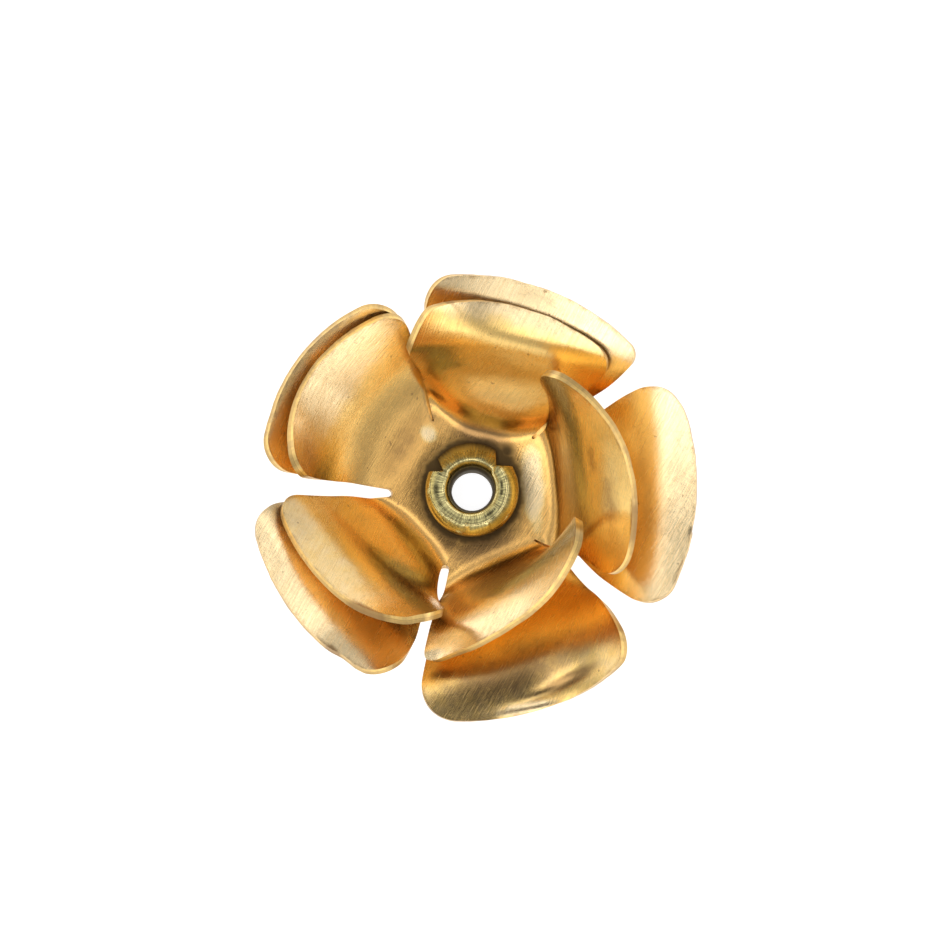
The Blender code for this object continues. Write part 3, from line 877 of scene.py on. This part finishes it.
def brushed_brass(name, colours, seed):
    """Satin sheet brass: brush lines, warm roots under painted highlights, tarnished rims, marks of tarnish,
    painted shade and painted highlight, and grime with painted shade round the eyelet.
    """
    finish = Finish(bpy.data.materials.new(name))
    centred = flat_mm(finish)
    flat = finish.vector("ADD", centred, (seed, seed * 1.7, seed))
    solid = object_mm(finish)
    lines = finish.noise(finish.vector("MULTIPLY", flat, (13.0, 0.6, 1.0)), 1.0, 4.0, 0.62)
    fine_lines = finish.noise(finish.vector("MULTIPLY", flat, (34.0, 1.4, 1.0)), 1.0, 3.0, 0.6)
    grain = finish.noise(flat, 5.5, 4.0, 0.6)
    patches = finish.noise(flat, 0.30, 3.0, 0.5)
    cloud = finish.noise(flat, 1.6, 4.0, 0.6)
    distance = finish.attribute(EDGE_DISTANCE)
    flat_radius = finish.vector("LENGTH", centred, output="Value")
    level = finish.vector("MULTIPLY", solid, (1.0, 1.0, 0.0))
    radius = finish.vector("LENGTH", level, output="Value")

    # Warm brass turns pale in random patches and under the painted highlight
    uneven = finish.math("MULTIPLY_ADD", finish.math("SUBTRACT", patches, 0.5), 0.7, finish.attribute(PAINTED_HIGHLIGHT))
    uneven = finish.math("MULTIPLY_ADD", finish.math("SUBTRACT", cloud, 0.5), 0.5, uneven)
    brass = finish.blend(finish.ramp(uneven, 0.2, 0.8), colours.warm, colours.pale)
    hub = finish.times(finish.ramp(uneven, 0.5, 0.2), finish.ramp(flat_radius, *HUB_BROWN))
    brass = finish.blend(finish.times(hub, 0.9), brass, colours.amber)
    brass = finish.tint(brass, lines, 0.42, 0.62, 0.20, colours.amber)
    brass = finish.tint(brass, fine_lines, 0.50, 0.68, 0.14, colours.tarnish_and_shade)
    brass = finish.tint(brass, grain, 0.50, 0.74, 0.16, colours.tarnish_and_shade)
    brass = finish.tint(brass, patches, 0.48, 0.72, 0.20, colours.tarnish_and_shade)
    rim = finish.times(finish.ramp(distance, 0.22, 0.0), finish.ramp(cloud, 0.42, 0.66))
    brass = finish.blend(finish.times(rim, 0.55), brass, colours.tarnish_and_shade)
    specks = finish.noise(flat, 2.7, 2.0, 0.5)
    brass = finish.tint(brass, specks, 0.71, 0.75, 0.60, colours.tarnish_and_shade)
    # Tarnish and painted shade from the marks
    stain_and_shade_mask = finish.math("MULTIPLY_ADD", finish.math("SUBTRACT", cloud, 0.5), 0.55, finish.attribute(STAIN_AND_SHADE))
    brass = finish.tint(brass, stain_and_shade_mask, 0.20, 1.00, 0.85, colours.tarnish_and_shade)
    # Grime and painted shade: a ring round the eyelet and a dark spot just outside its head
    dark_spot = finish.vector("DISTANCE", level, DARK_SPOT_PLACE, output="Value")
    ring = finish.math("MULTIPLY_ADD", cloud, 0.55, radius)
    dirt_and_shade = finish.math("MAXIMUM", finish.ramp(ring, *GRIME_AND_SHADE_RING), finish.ramp(dark_spot, *DARK_SPOT))
    grime_and_shade_amount = finish.times(dirt_and_shade, 0.94)
    brass = finish.blend(grime_and_shade_amount, brass, colours.grime_and_shade)

    rough = finish.math("MULTIPLY_ADD", finish.ramp(lines, 0.3, 0.7), 0.08, colours.roughness - 0.04)
    rough = finish.math("MULTIPLY_ADD", grime_and_shade_amount, 0.20, rough)
    relief_height = finish.math("MULTIPLY_ADD", fine_lines, 0.5, lines)
    normal = finish.bump(relief_height, 0.009 * MM, 0.8)
    normal = finish.bump(grain, 0.010 * MM, 0.4, normal)
    tangent = finish.add("ShaderNodeTangent", {}, direction_type="UV_MAP", uv_map=BRUSHING)
    return finish.shade(
        Base_Color=brass, Metallic=1.0, Roughness=rough, Anisotropic=0.4, Tangent=tangent, Normal=normal)


def sheared_brass(name, colours, seed):
    """The cut edge of the sheet: a smooth sheared band over a darker torn one, with brown lines between."""
    finish = Finish(bpy.data.materials.new(name))
    flat = finish.vector("ADD", flat_mm(finish), (seed, seed, seed))
    solid = object_mm(finish)
    shear = finish.noise(flat, 7.0, 3.0, 0.65)
    worn = finish.noise(solid, 1.3, 3.0, 0.6)
    depth = finish.math("MULTIPLY_ADD", finish.math("SUBTRACT", worn, 0.5), 0.5, finish.attribute(DEPTH))
    brass = finish.blend(finish.ramp(worn, 0.35, 0.60), colours.cut_edge, colours.warm)
    brass = finish.tint(brass, depth, 0.45, 0.75, 0.45, colours.tarnish_and_shade)
    parting = finish.math("COMPARE", depth, 0.52, 0.05)
    brass = finish.blend(finish.times(parting, 0.55), brass, colours.tarnish_and_shade)
    brass = finish.tint(brass, shear, 0.45, 0.75, 0.30, colours.tarnish_and_shade)
    # The marks' tarnish and painted shade carry onto the cut edge
    stain_and_shade_mask = finish.math("MULTIPLY_ADD", finish.math("SUBTRACT", worn, 0.45), 1.2, finish.attribute(STAIN_AND_SHADE))
    brass = finish.tint(brass, stain_and_shade_mask, 0.1, 0.6, 0.8, colours.tarnish_and_shade)
    normal = finish.bump(shear, 0.015 * MM, 0.6)
    return finish.shade(Base_Color=brass, Metallic=1.0, Roughness=0.36, Normal=normal)


def turned_brass(name, colours, sizes):
    """Olive brass of the eyelet: ridges worn bright with a painted highlight, golden slopes, streaks out from
    the hole, and grime with painted shade in the throat and at the head's foot.
    """
    finish = Finish(bpy.data.materials.new(name))
    solid = object_mm(finish)
    level = finish.vector("MULTIPLY", solid, (1.0, 1.0, 0.0))
    radius = finish.vector("LENGTH", level, output="Value")
    heading = finish.vector("MULTIPLY", finish.vector("NORMALIZE", level), (16.0, 16.0, 16.0))
    streaks = finish.noise(heading, 1.0, 3.0, 0.6)
    cloud = finish.noise(solid, 2.6, 4.0, 0.6)
    height = finish.add("ShaderNodeSeparateXYZ", {0: solid}, output=2)
    top = HEAD_TOP / MM
    bottom = (HEAD_TOP - sizes.head_height) / MM
    streaked = finish.ramp(streaks, 0.35, 0.62)
    brass = finish.blend(streaked, colours.eyelet_brass, colours.eyelet_streak)
    gold = finish.math("MAXIMUM", finish.ramp(radius, *INNER_SLOPE), finish.ramp(radius, *OUTER_SLOPE))
    brass = finish.blend(finish.times(gold, 0.75), brass, colours.eyelet_gold)
    # The ridges' tops are worn bright and carry a painted highlight
    on_ridge = finish.ramp(height, *(top - down for down in RIDGE_WEAR_AND_HIGHLIGHT))
    worn = finish.times(on_ridge, finish.ramp(cloud, 0.36, 0.56))
    brass = finish.blend(finish.times(worn, 0.9), brass, colours.eyelet_worn_and_highlight)
    # Grime and painted shade in the throat and at the head's foot
    throat = finish.ramp(radius, *THROAT)
    uneven = finish.math("MULTIPLY_ADD", streaks, 0.4, height)
    corner = finish.ramp(uneven, *(bottom + up for up in CORNER_DIRT_AND_SHADE))
    dirt_and_shade = finish.times(finish.math("MAXIMUM", throat, corner), 0.90)
    brass = finish.blend(dirt_and_shade, brass, colours.grime_and_shade)
    normal = finish.bump(streaks, 0.012 * MM, 0.5)
    normal = finish.bump(finish.noise(solid, 9.0, 3.0, 0.6), 0.010 * MM, 0.4, normal)
    rough = finish.math("MULTIPLY_ADD", dirt_and_shade, 0.5, 0.24)
    return finish.shade(Base_Color=brass, Metallic=1.0, Roughness=rough, Normal=normal)


def pale_floor(studio):
    """Matt pale board that glows a little."""
    finish = Finish(bpy.data.materials.new("pale floor"))
    return finish.shade(
        Base_Color=studio.floor, Roughness=0.9, Emission_Color=(1.0, 1.0, 1.0),
        Emission_Strength=studio.floor_glow)


def add_floor(studio):
    """A wide flat floor under the cap."""
    mesh = bmesh.new()
    bmesh.ops.create_circle(mesh, cap_ends=True, segments=FLOOR_SEGMENTS, radius=FLOOR_RADIUS)
    floor = finished_object("floor", mesh, [pale_floor(studio)])


def add_camera(studio):
    """A camera at the photograph's angle, with the eyelet where the photograph has it."""
    scale = studio.view_width / PICTURE
    tilt = studio.camera_tilt
    right = Vector((1.0, 0.0, 0.0))
    up = Vector((0.0, math.cos(tilt), math.sin(tilt)))
    back = Vector((0.0, -math.sin(tilt), math.cos(tilt)))
    aim = right * (PICTURE / 2 - FOOT_PIXEL.x) * scale + up * (FOOT_PIXEL.y - PICTURE / 2) * scale
    data = bpy.data.cameras.new("camera")
    data.sensor_width = 36.0
    data.lens = data.sensor_width * studio.camera_distance / studio.view_width
    data.clip_start = 10.0 * MM
    data.clip_end = 10.0
    camera = bpy.data.objects.new("camera", data)
    camera.location = aim + back * studio.camera_distance
    camera.rotation_euler = (tilt, 0.0, 0.0)
    bpy.context.scene.collection.objects.link(camera)
    bpy.context.scene.camera = camera


def toward(heading, height):
    """Direction at a heading and a height, both in degrees."""
    flat = math.cos(math.radians(height))
    return Vector((math.cos(math.radians(heading)) * flat, math.sin(math.radians(heading)) * flat,
                   math.sin(math.radians(height))))


def add_tent(studio):
    """The light tent: bright low walls, a dimmer band, a bright ring round a dim top, and its own places."""
    tent = Finish(bpy.data.worlds.new("light tent"), "Background")
    place = tent.add("ShaderNodeTexCoord", {}, output="Generated")
    height = tent.add("ShaderNodeSeparateXYZ", {0: place}, output="Z")
    light = tent.add("ShaderNodeValToRGB", {"Fac": height}, output="Color")
    stops = light.node.color_ramp
    while len(stops.elements) < len(TENT_WALLS):
        stops.elements.new(0.5)
    for stop, wall in zip(stops.elements, TENT_WALLS):
        stop.position = wall.high
        stop.color = (wall.level, wall.level, wall.level, 1.0)
    for spot in PLACES:
        facing = tent.vector("DOT_PRODUCT", place, toward(spot.heading, spot.height), output="Value")
        start = math.cos(math.radians(spot.end))
        full = math.cos(math.radians(spot.full))
        change = tent.ramp(facing, start, full, 1.0, spot.strength)
        light = tent.add("ShaderNodeVectorMath", {0: light, "Scale": change}, operation="SCALE")
    bpy.context.scene.world = tent.shade(Color=light, Strength=studio.tent)


class BEADCAP_OT_flowers(bpy.types.Operator):
    """Model both brushed brass flowers over the solid ones"""

    bl_idname = "beadcap.flowers"
    bl_label = "Flowers"

    def execute(self, context):
        sizes = context.scene.beadcap_sizes
        finish = context.scene.beadcap_finish
        outer_top = OUTER_LOW.z + sizes.sheet
        inner_top = INNER_LOW.z + sizes.sheet
        outer = Blank(OUTER, sizes.outer_reach, turn=0.0, top=outer_top, seed=3.0, petals=OUTER_PETALS)
        inner = Blank(INNER, sizes.inner_reach, turn=4.0, top=inner_top, seed=41.0, petals=INNER_PETALS)
        edge = sheared_brass("cut edge brass", finish, seed=5.0)
        lower = brushed_brass("brushed brass, lower", finish, seed=3.0)
        upper = brushed_brass("brushed brass, upper", finish, seed=17.0)
        add_flower(sizes, finish, outer, [lower, edge])
        add_flower(sizes, finish, inner, [upper, edge])
        return {"FINISHED"}


class BEADCAP_OT_eyelet(bpy.types.Operator):
    """Model the set eyelet that rivets the flowers together"""

    bl_idname = "beadcap.eyelet"
    bl_label = "Eyelet"

    def execute(self, context):
        sizes = context.scene.beadcap_sizes
        add_eyelet(sizes, [turned_brass("yellow brass", context.scene.beadcap_finish, sizes)])
        return {"FINISHED"}


class BEADCAP_OT_stage(bpy.types.Operator):
    """Set up the pale floor, the light tent and the camera"""

    bl_idname = "beadcap.stage"
    bl_label = "Studio"

    def execute(self, context):
        studio = context.scene.beadcap_studio
        add_camera(studio)
        add_floor(studio)
        add_tent(studio)
        context.scene.view_settings.view_transform = "Standard"
        return {"FINISHED"}


class BEADCAP_PT_panel(bpy.types.Panel):
    """Sizes, colours and operators of the bead cap"""

    bl_idname = "BEADCAP_PT_panel"
    bl_label = "Flower Bead Cap"
    bl_space_type = "VIEW_3D"
    bl_region_type = "UI"
    bl_category = "Bead Cap"

    def draw(self, context):
        layout = self.layout
        scene = context.scene
        for group in (scene.beadcap_sizes, scene.beadcap_finish, scene.beadcap_studio):
            column = layout.column(align=True)
            for name in group.__annotations__:
                column.prop(group, name)
        for operator in OPERATORS:
            layout.operator(operator.bl_idname)


OPERATORS = (BEADCAP_OT_stage, BEADCAP_OT_flowers, BEADCAP_OT_eyelet)
CLASSES = (BeadCapSizes, BeadCapFinish, BeadCapStudio, *OPERATORS, BEADCAP_PT_panel)


def register():
    for cls in CLASSES:
        bpy.utils.register_class(cls)
    bpy.types.Scene.beadcap_sizes = PointerProperty(type=BeadCapSizes)
    bpy.types.Scene.beadcap_finish = PointerProperty(type=BeadCapFinish)
    bpy.types.Scene.beadcap_studio = PointerProperty(type=BeadCapStudio)


def unregister():
    del bpy.types.Scene.beadcap_studio
    del bpy.types.Scene.beadcap_finish
    del bpy.types.Scene.beadcap_sizes
    for cls in reversed(CLASSES):
        bpy.utils.unregister_class(cls)


def main():
    """Register the add-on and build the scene."""
    register()
    bpy.ops.beadcap.stage()
    bpy.ops.beadcap.flowers()
    bpy.ops.beadcap.eyelet()


if __name__ == "__main__":
    main()
